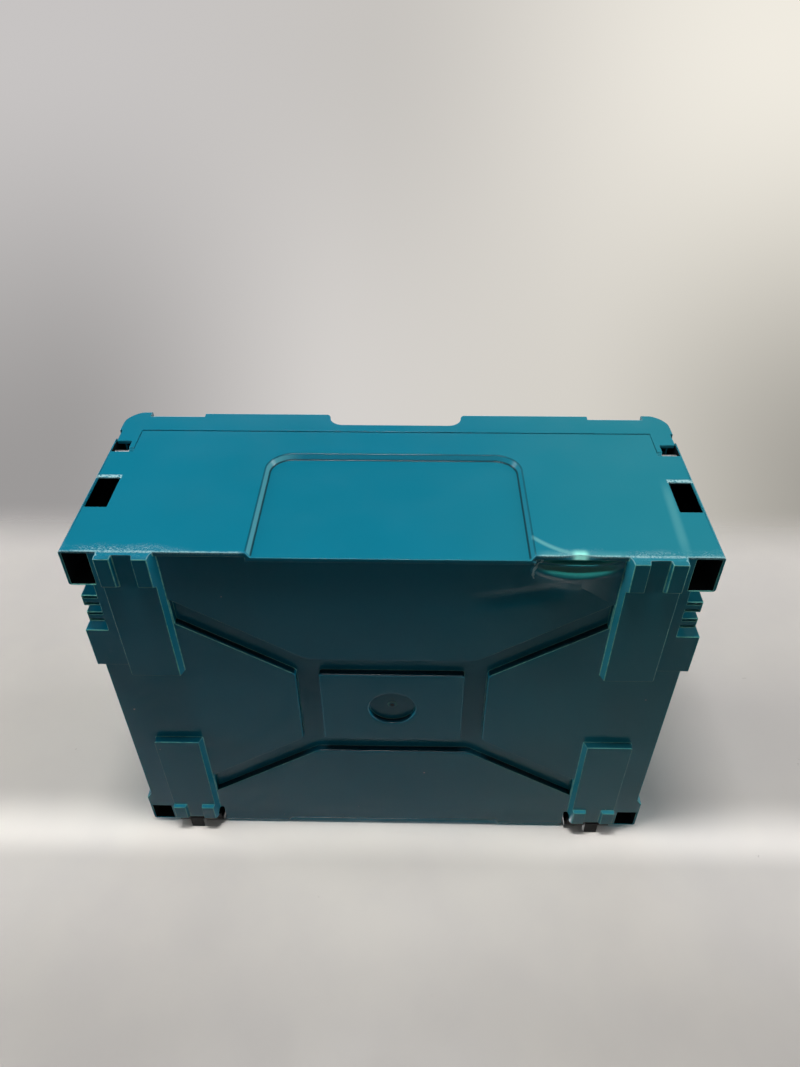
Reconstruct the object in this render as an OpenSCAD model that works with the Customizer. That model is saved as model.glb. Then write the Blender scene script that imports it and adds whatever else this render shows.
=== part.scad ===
// Stackable hard tool case: a moulded body, a hinged lid with a folding handle
// and two swinging front latches.
// X runs along the width, Z is up, the latches face -Y and the hinges face +Y.

/* [Case] */
// Width of the case
body_w = 396; // [340:1:460]
// Depth of the case from rear face to front face
body_d = 296; // [260:1:360]
// Height of the case from the feet to the tops of the lid corners
case_h = 163; // [150:1:220]
// Height of the lid
lid_h = 24.8; // [22:0.2:32]
// Wall thickness of the mouldings
wall_t = 3; // [2:0.1:3.4]
// Gap between the body rim and the lid rim
seam_gap = 0.4; // [0.2:0.1:0.8]
// Radius of the upright outer corners
corner_r = 1.5; // [1:0.5:4]

/* [Underside] */
// Drop of each foot block below its strip
foot_h = 2.5; // [1.5:0.1:3]
// Drop of each foot strip below the corner posts
strip_h = 3; // [2:0.1:4]
// Rise of the underside panels above the corner posts
panel_rise = 2.3; // [1.5:0.1:3]
// Depth of the cross-shaped channel in the underside
channel_depth = 5; // [3:0.1:6]
// Distance from the side of the case to a foot strip
strip_edge = 22.5; // [21:0.5:30]
// Width of a foot strip
strip_w = 33; // [28:0.5:34]
// Length of the rear foot strips
rear_strip_l = 109; // [80:1:120]
// Distance from the front face to the front foot strips
front_strip_gap = 12; // [11:0.5:16]
// Length of the front foot strips
front_strip_l = 100; // [80:1:100]
// Slope of the foot strips' inner sides, as a width
strip_draft = 2; // [0.5:0.1:2.5]
// Slope of the foot blocks' inner sides, as a width
block_draft = 1.2; // [0.5:0.1:2]
// Gap between the ends of the channel's arms and the foot strips
arm_end_gap = 3; // [2.5:0.5:6]
// Width of a foot block
block_w = 10.5; // [8:0.5:12]
// Length of a rear foot block
rear_block_l = 25.8; // [18:0.2:32]
// Length of a front foot block
front_block_l = 18; // [12:0.5:22]
// Chamfer on the ends of the foot blocks
block_chamfer = 1.6; // [0.8:0.1:2]
// Half width of the raised centre panel
centre_half_w = 49.8; // [40:0.2:54]
// Half length of the raised centre panel
centre_half_l = 36; // [28:0.5:38]
// Width of the channel on each side of the centre panel
channel_side_w = 15.9; // [12:0.1:18]
// Width of the channel at the ends of the centre panel
channel_end_w = 14.9; // [10:0.1:18]
// Rise of the channel's arms per unit of width
arm_slope = 0.66; // [0.5:0.01:0.7]
// Diameter of the round recess in the centre panel
gate_d = 33; // [24:1:40]
// Depth of the round recess
gate_depth = 4; // [2:0.5:4.5]
// Diameter of the moulding point in the round recess
gate_point_d = 6; // [4:0.5:8]

/* [Rear and front face] */
// Half width of the arched recess
arch_half_w = 83.5; // [70:0.5:90]
// Height of the arched recess above the corner posts
arch_h = 101.5; // [80:0.5:105]
// Radius of the top corners of the arched recess
arch_r = 15; // [8:1:20]
// Depth of the arched recess
arch_depth = 3.8; // [2:0.1:4.5]
// Slope of the arched recess's sides, as a width
arch_flare = 2.6; // [0.5:0.1:4]
// Thickness of the lip along the lower edge
lip_t = 3.4; // [2.5:0.1:4]

/* [Corner posts] */
// Width of a corner post
post_w = 20; // [18:0.5:22]
// Depth of a rear corner post
post_d = 27.9; // [26:0.1:32]
// Outer wall of a corner post
post_wall = 1.8; // [1.6:0.1:3]
// Inner wall of a corner post
post_inner_wall = 3; // [2:0.1:3.2]
// Height of the large rear slot's lower edge above the posts' ends
slot_low = 43; // [30:1:50]
// Height of the large rear slot
slot_h = 31.5; // [20:0.5:36]
// Width of the large rear slot
slot_w = 14.8; // [10:0.2:15]
// Depth of the front corner posts
front_post_d = 32; // [28:0.5:36]
// Length of the pocket in the end of each front post
front_pocket_l = 17.5; // [12:0.5:20]
// Height of the pocket in the end of each front post
front_pocket_h = 60; // [30:5:90]

/* [Side ribs] */
// How far the ribs stand back from the full width
rib_back = 5; // [3:0.5:7]
// How far the side panel stands back from the full width
side_back = 4; // [2:0.5:6]
// Distance from the rear face to the first rib
rib_s = 36.5; // [34:0.5:38]
// Length of a rib along the side
rib_l = 9; // [7:0.5:9.5]
// Distance from one rib to the next
rib_pitch = 14.4; // [12:0.1:15]
// Number of ribs on each side
rib_count = 2; // [1:1:2]
// Depth of the ribs
rib_depth = 10; // [8:0.5:11]
// Width of the slots in a rib
rib_slot_w = 1.3; // [0.8:0.1:1.6]
// Distance from the rear face to the side pilaster
pilaster_s = 68; // [66:0.5:72]
// Length of the side pilaster
pilaster_l = 33.5; // [20:0.5:40]
// Height of the rim band around the top of the body
rim_band_h = 16; // [10:1:22]

/* [Lid] */
// Depth of the lid's foot grooves below the corners
groove_depth = 5.5; // [4:0.1:6]
// Drop of the lid's platforms below the corners
platform_drop = 1.2; // [0.5:0.1:3]
// Drop of the handle channel below the corners
channel_drop = 16.2; // [14:0.1:17]
// Half width of the flat floor of the handle channel
channel_half_w = 38; // [30:0.5:40]
// Radius of the hollow flanks of the handle channel
flank_r = 9.5; // [8:0.5:10]
// Radius of the rounded shoulders of the handle channel
shoulder_r = 5.5; // [2:0.5:5.5]
// Distance from the side of the case to a platform
platform_edge = 58; // [57:0.5:68]
// Length of the raised corners along the sides
corner_l = 46; // [40:1:60]
// Rounding of the top edges of the lid
lid_edge_r = 2; // [1.5:0.5:4.5]
// Rounding of the lid's sides into its top
lid_side_r = 18; // [12:0.5:18]
// Height of the locating bars on the body rim
lip_bar_h = 3; // [2:0.5:4]
// Thickness of the locating bars
lip_bar_t = 2; // [1.5:0.1:3]
// Gap between the locating bars and the lid's walls
lip_gap = 0.6; // [0.4:0.1:1]

/* [Hinge] */
// Distance from the rear face to the hinge axis
hinge_s = 6; // [5.5:0.1:7]
// Height of the hinge axis below the lid rim
hinge_drop = 20.7; // [18:0.1:22]
// Diameter of the hinge pins
hinge_pin_d = 4; // [3:0.1:5]
// Radial clearance of the lid on its hinge pins
hinge_play = 0.06; // [0.02:0.01:0.1]
// Radius of the round end of a hinge eye
eye_r = 5.5; // [4:0.1:5.5]
// Thickness of a hinge eye
eye_t = 3.6; // [2.5:0.1:6]
// How far the flush back of a hinge eye reaches below the hinge axis
eye_heel = 2; // [0:0.5:3]
// Length of the lid's corner flaps below the lid rim
flap_l = 14.4; // [12:0.1:15]
// Height of the opening below each corner flap
flap_window_h = 13.3; // [13.3:0.1:16]
// Gap around the corner flaps
flap_gap = 0.4; // [0.3:0.1:0.8]

/* [Handle] */
// Length of the handle's arms from pivot to grip
arm_l = 46; // [40:1:54]
// Width of the handle over its arms
handle_w = 114; // [104:1:118]
// Width of each handle arm
arm_w = 11; // [8:0.5:14]
// Thickness of the handle's bar
bar_t = 10; // [8:0.5:11]
// Width of the handle's bar
bar_w = 18; // [14:0.5:20]
// Length of the soft grip on the bar
grip_l = 84; // [70:1:84]
// Thickness of the soft grip around the bar
grip_t = 1.6; // [1:0.1:1.8]
// Diameter of the handle pins
handle_pin_d = 6; // [4:0.5:7]
// Radial clearance of the handle on its pins
handle_play = 0.08; // [0.02:0.01:0.1]
// Gap between the handle and the sides of its bay
bay_gap = 3; // [1:0.5:4]

/* [Latches] */
// Distance from the side of the case to the centre of a latch
latch_edge = 40.5; // [40:0.5:46]
// Width of a latch
latch_w = 36; // [28:0.5:36]
// Length of a latch from its pin to its tip
latch_l = 73; // [70:0.5:74]
// Thickness of a latch's plate
latch_t = 4.7; // [3.5:0.1:5]
// How far the latch noses stand out from the front face
latch_proud = 2.8; // [2:0.1:4]
// Height of a latch's pin above the floor
latch_pin_z = 75.5; // [75:0.5:77]
// Distance from the front face back to the latch pins
latch_pin_back = 4; // [3.5:0.1:5]
// Diameter of the latch pins
latch_pin_d = 4; // [3:0.1:5]
// Radial clearance of a latch on its pin
latch_play = 0.06; // [0.02:0.01:0.1]
// How far a latch's nose sits outwards of the latch's centre
nose_shift = 3.25; // [0:0.25:5]
// Width of a latch's nose
nose_w = 10.5; // [8:0.5:24]
// Height of a latch's nose
nose_h = 5.5; // [4:0.1:6]
// Reach of a latch's nose
nose_reach = 4; // [3:0.1:4.5]
// Reach of a latch's finger lip
finger_reach = 4; // [2:0.1:4.5]
// Width of the stiffening ribs on a latch
latch_rib_w = 2.5; // [1.5:0.1:4]
// Distance from the sides of a latch to its stiffening ribs
latch_rib_in = 4; // [3:0.5:8]
// Depth of the latch recesses
recess_d = 18; // [17:0.5:20]
// Gap between a latch and the sides of its recess
latch_side_gap = 1.6; // [0.5:0.1:2]
// Gap between a closed latch's nose and its keeper
keeper_gap = 0.3; // [0.2:0.1:0.6]

/* [Hidden] */
$fn = 48;

CASE_COLOUR = "#14788a";
BLACK_PLASTIC = "#1b1d1f";
SOFT_BLACK = "#2a2c2e";
STEEL = "#9aa0a4";

over = 1;                       // length by which a cutter passes the face it cuts
seat_fit = 0.01;                // radial clearance of a pin in its fixed seat
pin_short = 0.2;                // space left beyond the end of a pin in its seat
half_w = body_w / 2;
y_rear = (body_d + latch_proud) / 2;

// heights above the floor
post_z = foot_h + strip_h;
panel_z = post_z + panel_rise;
channel_z = panel_z + channel_depth;
floor_z = panel_z + wall_t;
ridge_z = channel_z + wall_t;
lid_z = case_h - lid_h;
rim_z = lid_z - seam_gap;
arch_z = post_z + arch_h;
hinge_z = lid_z - hinge_drop;
flap_z = lid_z - flap_l;
window_z = flap_z - flap_window_h;
groove_z = case_h - groove_depth;
platform_z = case_h - platform_drop;
bay_z = case_h - channel_drop;

// widths
core_x = half_w - rib_back - rib_depth;
post_x = half_w - post_w;
post_hollow_in = post_x + post_inner_wall;
post_hollow_out = half_w - post_wall;
cavity_x = core_x - wall_t;
post_cavity_x = post_x - post_inner_wall;
strip_out = half_w - strip_edge;
strip_in = strip_out - strip_w;
latch_x = half_w - latch_edge;
nose_x = latch_x + nose_shift;
platform_half_w = half_w - platform_edge;
bump_in = half_w - lid_side_r;
arm_end = strip_in - arm_end_gap;
flap_in = post_hollow_in + flap_gap;
flap_out = post_hollow_out - flap_gap;
shoulder_x = channel_half_w + flank_r + shoulder_r;

// distances from the rear face
side_s = pilaster_s + pilaster_l;
front_post_s = body_d - front_post_d;
front_strip_end = body_d - front_strip_gap;
front_strip_s = front_strip_end - front_strip_l;

// latch
latch_side = latch_w / 2 + latch_side_gap;
recess_in = latch_x - latch_side;
recess_out = latch_x + latch_side;
recess_s = body_d - recess_d;
latch_pin_s = body_d - latch_pin_back;
plate_out = body_d + latch_proud - nose_reach;
plate_in = plate_out - latch_t;
tip_z = latch_pin_z - latch_l;
nose_z = tip_z + nose_h;
keeper_z = 2 * latch_pin_z - nose_z - keeper_gap;
keeper_s = 2 * latch_pin_s - plate_out - keeper_gap;
keeper_recess_z = 2 * latch_pin_z - tip_z + wall_t;

// handle
bay_x = handle_w / 2 + bay_gap;
pivot_s = body_d / 2;
grip_s = pivot_s + arm_l;
arm_end_r = bar_t / 2 + 1;
handle_z = bay_z + arm_end_r + wall_t / 2;
bay_rear = pivot_s - arm_end_r - bay_gap;
bay_front = grip_s + bar_w / 2 + grip_t + bay_gap;
pin_seat_x = bay_x + 2 * wall_t;

// ---------- helpers: x across, s back to front from the rear face, z up ----------

module case_frame() {
    translate([0, y_rear, 0]) mirror([0, 1, 0]) children();
}

module both_sides() {
    children();
    mirror([1, 0, 0]) children();
}

module both_ends() {
    children();
    translate([0, body_d, 0]) mirror([0, 1, 0]) children();
}

module block(x0, x1, s0, s1, z0, z1) {
    translate([x0, s0, z0]) cube([x1 - x0, s1 - s0, z1 - z0]);
}

// a bar or bore along X
module rod(x0, x1, s, z, r) {
    translate([x0, s, z]) rotate([0, 90, 0]) cylinder(h = x1 - x0, r = r);
}

// an outline in (s, z) drawn out along X
module along_x(x0, x1) {
    translate([x0, 0, 0]) rotate([90, 0, 90]) linear_extrude(height = x1 - x0) children();
}

// an outline in (x, z) drawn out along the depth
module along_s(s0, s1) {
    translate([0, s1, 0]) rotate([90, 0, 0]) linear_extrude(height = s1 - s0) children();
}

// an outline in (x, s) drawn upwards
module upright(z0, z1) {
    translate([0, 0, z0]) linear_extrude(height = z1 - z0) children();
}

module round_rect(x0, x1, y0, y1, r) {
    translate([x0 + r, y0]) square([x1 - x0 - 2 * r, y1 - y0]);
    translate([x0, y0 + r]) square([x1 - x0, y1 - y0 - 2 * r]);
    for (x = [x0 + r, x1 - r], y = [y0 + r, y1 - r]) translate([x, y]) circle(r = r);
}

// a rectangle whose two upper corners are round
module round_top(x0, x1, z0, z1, r) {
    translate([x0 + r, z0]) square([x1 - x0 - 2 * r, z1 - z0]);
    translate([x0, z0]) square([x1 - x0, z1 - z0 - r]);
    for (x = [x0 + r, x1 - r]) translate([x, z1 - r]) circle(r = r);
}

// ---------- underside pattern ----------

panel_in = centre_half_w + channel_side_w;
trap_l = centre_half_l + channel_end_w;
trap_x = panel_in - channel_side_w * arm_slope / 1.1;
function arm_rise(x) = arm_slope * (x - panel_in);

// outline of one side panel, drawn in by an inset
module side_panel(inset) {
    slant = inset * sqrt(1 + arm_slope * arm_slope);
    x0 = panel_in + inset;
    x1 = strip_in;
    y0 = centre_half_l + arm_rise(x0) - slant;
    y1 = centre_half_l + arm_rise(x1) - slant;
    polygon([[x0, -y0], [x1, -y1], [x1, y1], [x0, y0]]);
}

// outline of the panel between an end wall and the channel
module end_panel(inset, end_l) {
    slant = inset * sqrt(1 + arm_slope * arm_slope);
    y0 = trap_l + inset;
    x0 = trap_x + (slant - inset) / arm_slope * (inset > 0 ? -1 : 0);
    y1 = y0 + arm_slope * (strip_in - x0);
    polygon([[-x0, y0], [x0, y0], [strip_in, y1], [strip_in, end_l],
        [-strip_in, end_l], [-strip_in, y1]]);
}

module panels(inset, end_l) {
    both_sides_2d() side_panel(inset);
    end_panel(inset, end_l);
    mirror([0, 1]) end_panel(inset, end_l);
}

module both_sides_2d() {
    children();
    mirror([1, 0]) children();
}

// ---------- body ----------

module arch_outline(half, top, r) {
    translate([-half, -over]) square([2 * half, top - r + over]);
    translate([-half + r, 0]) square([2 * (half - r), top]);
    for (x = [-half + r, half - r]) translate([x, top - r]) circle(r = r);
}

// foot block with chamfered ends and a sloped inner side
module foot_block(x0, s0, s1) {
    x1 = x0 + block_w;
    intersection() {
        along_x(x0, x1) polygon([[s0, foot_h], [s0 + block_chamfer, 0], [s1 - block_chamfer, 0],
            [s1, foot_h], [s1, post_z], [s0, post_z]]);
        along_s(s0, s1) polygon([[x0, foot_h], [x0 + block_draft, 0], [x1, 0], [x1, post_z],
            [x0, post_z]]);
    }
}

module foot_strip(s0, s1) {
    along_s(s0, s1) polygon([[strip_in, foot_h], [strip_out, foot_h], [strip_out, floor_z],
        [strip_in - strip_draft, floor_z], [strip_in - strip_draft, panel_z]]);
}

module foot_strips() {
    foot_strip(0, rear_strip_l);
    foot_strip(front_strip_s, front_strip_end);
    for (x = [strip_in, strip_out - block_w]) {
        foot_block(x, 0, rear_block_l);
        foot_block(x, front_strip_end - front_block_l, front_strip_end);
    }
}

module ribs() {
    for (i = [0 : rib_count - 1]) {
        s0 = rib_s + i * rib_pitch;
        difference() {
            block(core_x - wall_t, half_w - rib_back, s0, s0 + rib_l, post_z, rim_z - wall_t);
            for (s = [s0 + 1.2, s0 + rib_l - 1.2 - rib_slot_w])
                block(core_x, half_w - rib_back - 1, s, s + rib_slot_w,
                    post_z - over, rim_z - rim_band_h);
        }
    }
}

module posts() {
    upright(post_z, rim_z) round_rect(post_x - wall_t, half_w, 0, post_d, 2);
    upright(panel_z, rim_z) {
        round_rect(post_x, half_w, front_post_s, body_d, 2);
        polygon([[post_x, front_post_s - side_back], [half_w - side_back, front_post_s - side_back],
            [half_w, front_post_s + 2], [half_w, front_post_s + 4], [post_x, front_post_s + 4]]);
    }
}

module body_outer() {
    block(-core_x, core_x, 0, body_d, panel_z, rim_z);
    // lower lip of the rear wall, and the thick edge of the floor behind each arch
    block(-strip_in, strip_in, 0, lip_t, post_z, panel_z + wall_t / 3);
    block(-arch_half_w - lip_t, arch_half_w + lip_t, 0, arch_depth + lip_t, post_z, floor_z);
    block(-arch_half_w - lip_t, arch_half_w + lip_t, body_d - arch_depth - lip_t, body_d,
        panel_z, floor_z);
    both_sides() {
        block(strip_out - 1, core_x, 0, side_s, post_z, panel_z + 1);
        posts();
        ribs();
        foot_strips();
        block(cavity_x, half_w, pilaster_s, side_s, post_z, rim_z);
        block(cavity_x, half_w - side_back, side_s - 1, front_post_s + 1, panel_z, rim_z);
        // rim band: a shelf with a skirt
        block(cavity_x, half_w, post_d - 1, front_post_s + 1, rim_z - wall_t, rim_z);
        block(half_w - post_wall, half_w, post_d - 1, front_post_s + 1, rim_z - rim_band_h, rim_z);
    }
}

module body_cavity() {
    deep = arch_depth + wall_t;
    beside_x = arch_half_w + arch_flare + wall_t;
    above_z = arch_z + arch_flare + wall_t;
    top = rim_z + over;
    // channel ridges stand up from the floor
    block(-cavity_x, cavity_x, post_d + wall_t, front_post_s - wall_t, ridge_z, top);
    block(-post_cavity_x, post_cavity_x, deep, body_d - deep, ridge_z, top);
    translate([0, body_d / 2, 0]) upright(floor_z, ridge_z + over)
        intersection() {
            panels(wall_t, body_d / 2 - deep);
            square([2 * strip_in, body_d - 2 * deep], center = true);
        }
    both_sides() {
        block(strip_in + wall_t, post_cavity_x, deep, recess_s - wall_t, floor_z, ridge_z + over);
        block(strip_in + wall_t, cavity_x, post_d + wall_t, front_post_s - wall_t, floor_z, top);
        // wider middle of each side
        block(cavity_x - 1, half_w - side_back - wall_t, side_s + wall_t,
            front_post_s - side_back - wall_t, floor_z, top);
        // beside the arches
        block(beside_x, post_cavity_x, wall_t, deep + over, floor_z, top);
        block(beside_x, recess_in - wall_t, body_d - deep - over, body_d - wall_t,
            floor_z, top);
    }
    // above the arches
    block(-post_cavity_x, post_cavity_x, wall_t, body_d / 2, above_z, top);
    block(-recess_in + wall_t, recess_in - wall_t, body_d / 2, body_d - wall_t, above_z, top);
}

// solid kept around each latch recess inside the body
module recess_housing() {
    block(recess_in - wall_t, recess_out + wall_t, recess_s - wall_t, body_d, panel_z, rim_z);
}

module latch_recess() {
    block(recess_in, recess_out, recess_s, body_d + over, floor_z, rim_z + over);
    // open at the bottom beside and in front of the foot strip
    block(recess_in, strip_in, recess_s, body_d + over, post_z - over, floor_z + over);
    block(recess_in, recess_out, front_strip_end, body_d + over, foot_h - over, floor_z + over);
}

module post_openings() {
    // rear post: a tube from end to end
    block(post_hollow_in, post_hollow_out, post_wall, post_d - post_wall / 2,
        post_z - over, rim_z + over);
    // large slot and the window under the lid's corner flap
    slot_z = post_z + slot_low;
    block(post_hollow_in, post_hollow_in + slot_w, -over, post_wall + over, slot_z, slot_z + slot_h);
    block(post_hollow_in, post_hollow_out, -over, post_wall + over, window_z, rim_z + over);
    // notch in the outer wall beside the flap
    block(post_hollow_out - over, half_w + over, -over, post_wall * 2, flap_z + wall_t, rim_z + over);
    // front post: a pocket in its end
    block(post_x + wall_t, post_hollow_out, body_d - post_wall / 2 - front_pocket_l,
        body_d - post_wall / 2, post_z - over, post_z + front_pocket_h);
}

// the rear rim is relieved about the hinge axis so that the lid can swing past it
module rim_relief() {
    difference() {
        block(-half_w - over, half_w + over, -over, hinge_s, hinge_z + hinge_drop / 2, rim_z + over);
        rod(-half_w - 2 * over, half_w + 2 * over, hinge_s, hinge_z, rim_z - hinge_z);
    }
}

module locating_bars() {
    z0 = rim_z - lip_bar_h;
    z1 = rim_z + lip_bar_h;
    bar_out = wall_t + lip_gap;
    bar_in = bar_out + lip_bar_t;
    front_x = recess_in - 2 * wall_t;
    block(-front_x, front_x, body_d - bar_in, body_d - bar_out, z0, z1);
    block(-front_x, front_x, body_d - bar_in, body_d - wall_t / 2, z0, rim_z);
    both_sides() block(half_w - bar_in, half_w - bar_out, post_d + wall_t,
        front_post_s - wall_t, rim_z - wall_t / 2, z1);
}

module base_shell() {
    color(CASE_COLOUR) case_frame() difference() {
        union() {
            difference() {
                body_outer();
                body_cavity();
            }
            both_sides() intersection() {
                recess_housing();
                body_outer();
            }
            locating_bars();
        }
        both_ends() translate([0, arch_depth, 0]) rotate([90, 0, 0])
            linear_extrude(height = arch_depth + over)
                arch_from_floor();
        both_ends() arch_slopes();
        translate([0, body_d / 2, 0]) {
            upright(panel_z - over, channel_z) difference() {
                square([2 * arm_end, 2 * (trap_l + arm_slope * strip_in)], center = true);
                panels(0, body_d);
                square([2 * centre_half_w, 2 * centre_half_l], center = true);
            }
            upright(panel_z - over, panel_z + gate_depth) difference() {
                circle(d = gate_d);
                circle(d = gate_point_d);
            }
        }
        both_sides() {
            latch_recess();
            post_openings();
            rod(post_cavity_x + 1, half_w - post_wall / 4, hinge_s, hinge_z,
                hinge_pin_d / 2 + seat_fit);
            rod(recess_in - wall_t - over, recess_out + 2 * wall_t, latch_pin_s, latch_pin_z,
                latch_pin_d / 2 + seat_fit);
        }
        rim_relief();
    }
}

module arch_from_floor() {
    translate([0, post_z]) arch_outline(arch_half_w, arch_h, arch_r);
}

// slope between the arched recess and the face around it
module arch_slopes() {
    reach = arch_flare * (1 + over / arch_depth);
    both_sides() {
        upright(post_z - over, arch_z - arch_r) polygon([[arch_half_w - over, -over],
            [arch_half_w + reach, -over], [arch_half_w, arch_depth], [arch_half_w - over, arch_depth]]);
        translate([arch_half_w - arch_r, 0, arch_z - arch_r]) rotate([-90, 0, 0])
            rotate([0, 0, -90]) rotate_extrude(angle = 90) polygon([[arch_r - over, -over],
                [arch_r + reach, -over], [arch_r, arch_depth], [arch_r - over, arch_depth]]);
    }
    along_x(-arch_half_w + arch_r, arch_half_w - arch_r) polygon([[-over, arch_z - over],
        [-over, arch_z + reach], [arch_depth, arch_z], [arch_depth, arch_z - over]]);
}

// ---------- lid ----------

// part of the lid between two widths, with its top edges rounded at rear and front
module lid_slab(x0, x1, top, r = lid_edge_r) {
    along_x(x0, x1) round_top(0, body_d, lid_z, top, r);
}

// hollow flank and rounded shoulder between the handle channel and a platform
module channel_flank() {
    knee_z = bay_z + flank_r;
    along_s(0, body_d) difference() {
        union() {
            translate([channel_half_w, lid_z]) square([shoulder_x - channel_half_w, knee_z - lid_z]);
            translate([channel_half_w + flank_r, lid_z])
                square([shoulder_r, platform_z - shoulder_r - lid_z]);
            translate([shoulder_x, platform_z - shoulder_r]) circle(r = shoulder_r);
        }
        translate([channel_half_w, knee_z]) circle(r = flank_r);
    }
}

module lid_outer() {
    lid_slab(-channel_half_w, channel_half_w, bay_z, lid_edge_r / 4);
    both_sides() {
        intersection() {
            channel_flank();
            lid_slab(channel_half_w, shoulder_x + shoulder_r, platform_z);
        }
        lid_slab(shoulder_x, platform_half_w, platform_z);
        lid_slab(platform_half_w - over, half_w, groove_z);
        intersection() {
            both_ends() block(bump_in, half_w, -over, corner_l, lid_z, case_h + over);
            lid_slab(post_x, half_w + over, case_h);
        }
    }
}

// the lid's sides curve into its top, and its upright corners are round
module lid_rounding(inset) {
    intersection() {
        along_s(-over, body_d + over) round_top(-half_w + inset, half_w - inset, lid_z - flap_l - over,
            case_h - inset, lid_side_r - inset);
        upright(lid_z - flap_l - over, case_h + over)
            round_rect(-half_w + inset, half_w - inset, inset, body_d - inset, corner_r);
    }
}

module lid_cavity() {
    z0 = lid_z - over;
    intersection() {
        union() {
            block(-half_w + wall_t, half_w - wall_t, wall_t, body_d - wall_t, z0, bay_z - wall_t);
            both_sides() {
                block(bay_x + wall_t, half_w - wall_t, wall_t, body_d - wall_t, z0, groove_z - wall_t);
                block(bay_x + wall_t, platform_half_w - wall_t, wall_t, body_d - wall_t,
                    z0, platform_z - wall_t);
                both_ends() block(bump_in + wall_t, half_w - wall_t, wall_t, corner_l - wall_t,
                    z0, case_h - wall_t);
            }
        }
        lid_rounding(wall_t);
    }
}

// corner flap and hinge eye that hang into the rear post
module hinge_flap() {
    block(flap_in, flap_out, 0, wall_t, flap_z, lid_z + wall_t);
    difference() {
        union() {
            block(flap_in, flap_in + eye_t, 0, hinge_s + eye_r, hinge_z, bay_z);
            block(flap_in, flap_in + eye_t, 0, hinge_s, hinge_z - eye_heel, hinge_z + over);
            rod(flap_in, flap_in + eye_t, hinge_s, hinge_z, eye_r);
        }
        rod(flap_in - over, flap_in + eye_t + over, hinge_s, hinge_z, hinge_pin_d / 2 + hinge_play);
    }
}

module handle_bay() {
    block(-bay_x, bay_x, bay_rear, bay_front, bay_z, case_h + over);
}

module keeper_housing() {
    block(recess_in - wall_t, recess_out + wall_t, recess_s - wall_t, body_d - lid_edge_r,
        lid_z, groove_z - wall_t / 3);
}

module keeper_recess() {
    block(recess_in, recess_out, recess_s, body_d + over, keeper_z, keeper_recess_z);
    block(recess_in, recess_out, keeper_s, body_d + over, lid_z - over, keeper_recess_z);
}

module lid_shell() {
    color(CASE_COLOUR) case_frame() difference() {
        union() {
            difference() {
                intersection() {
                    lid_outer();
                    lid_rounding(0);
                }
                lid_cavity();
            }
            both_sides() {
                hinge_flap();
                keeper_housing();
                // boss behind each handle pin
                block(bay_x, pin_seat_x + wall_t, pivot_s - arm_end_r - wall_t,
                    pivot_s + arm_end_r + wall_t, bay_z - wall_t, platform_z - 1);
            }
        }
        handle_bay();
        both_sides() {
            keeper_recess();
            rod(bay_x - over, pin_seat_x, pivot_s, handle_z, handle_pin_d / 2 + seat_fit);
        }
    }
}

// ---------- hinge pins ----------

module hinge_pin() {
    rod(post_cavity_x + 1 + pin_short, half_w - post_wall / 4 - pin_short, hinge_s, hinge_z,
        hinge_pin_d / 2);
}

module hinge_pin_left() {
    color(STEEL) case_frame() mirror([1, 0, 0]) hinge_pin();
}

module hinge_pin_right() {
    color(STEEL) case_frame() hinge_pin();
}

// ---------- handle ----------

// flat oval bar along X
module bar(x0, x1, w, t) {
    along_x(x0, x1) translate([grip_s, handle_z]) round_rect(-w / 2, w / 2, -t / 2, t / 2, t / 2 - 0.1);
}

module carry_handle() {
    arm_in = handle_w / 2 - arm_w;
    color(BLACK_PLASTIC) case_frame() difference() {
        union() {
            bar(-handle_w / 2, handle_w / 2, bar_w, bar_t);
            both_sides() {
                rod(arm_in, handle_w / 2, pivot_s, handle_z, arm_end_r);
                block(arm_in, handle_w / 2, pivot_s, grip_s, handle_z - bar_t / 2, handle_z + bar_t / 2);
            }
        }
        both_sides() rod(arm_in - over, handle_w / 2 + over, pivot_s, handle_z,
            handle_pin_d / 2 + handle_play);
    }
}

module handle_grip() {
    color(SOFT_BLACK) case_frame() difference() {
        bar(-grip_l / 2, grip_l / 2, bar_w + 2 * grip_t, bar_t + 2 * grip_t);
        bar(-grip_l / 2 - over, grip_l / 2 + over, bar_w + 2 * seat_fit, bar_t + 2 * seat_fit);
    }
}

module handle_pin() {
    rod(handle_w / 2 - arm_w + 0.5, pin_seat_x - 0.5, pivot_s, handle_z, handle_pin_d / 2);
}

module handle_pin_left() {
    color(STEEL) case_frame() mirror([1, 0, 0]) handle_pin();
}

module handle_pin_right() {
    color(STEEL) case_frame() handle_pin();
}

// ---------- latches, hanging open ----------

module latch() {
    x0 = latch_x - latch_w / 2;
    x1 = latch_x + latch_w / 2;
    boss_r = latch_pin_d / 2 + wall_t;
    plate_z = post_z + keeper_gap;
    difference() {
        union() {
            along_x(x0, x1) round_rect(plate_in, plate_out, plate_z, latch_pin_z, 1.5);
            block(nose_x - nose_w / 2, nose_x + nose_w / 2, plate_in - finger_reach,
                body_d + latch_proud, tip_z, nose_z);
            // finger lip on the inner face
            along_x(x0 + latch_rib_in / 2, x1 - latch_rib_in / 2) round_rect(plate_in - finger_reach, plate_in + 1,
                plate_z, plate_z + nose_h * 0.6, 1);
            rod(x0, x1, latch_pin_s, latch_pin_z, boss_r);
            // stiffening ribs on the inner face
            for (x = [x0 + latch_rib_in, x1 - latch_rib_in - latch_rib_w])
                block(x, x + latch_rib_w, plate_in - latch_t / 2, plate_in + 1, nose_z, latch_pin_z);
        }
        rod(x0 - over, x1 + over, latch_pin_s, latch_pin_z, latch_pin_d / 2 + latch_play);
    }
}

module latch_left() {
    color(BLACK_PLASTIC) case_frame() mirror([1, 0, 0]) latch();
}

module latch_right() {
    color(BLACK_PLASTIC) case_frame() latch();
}

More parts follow.
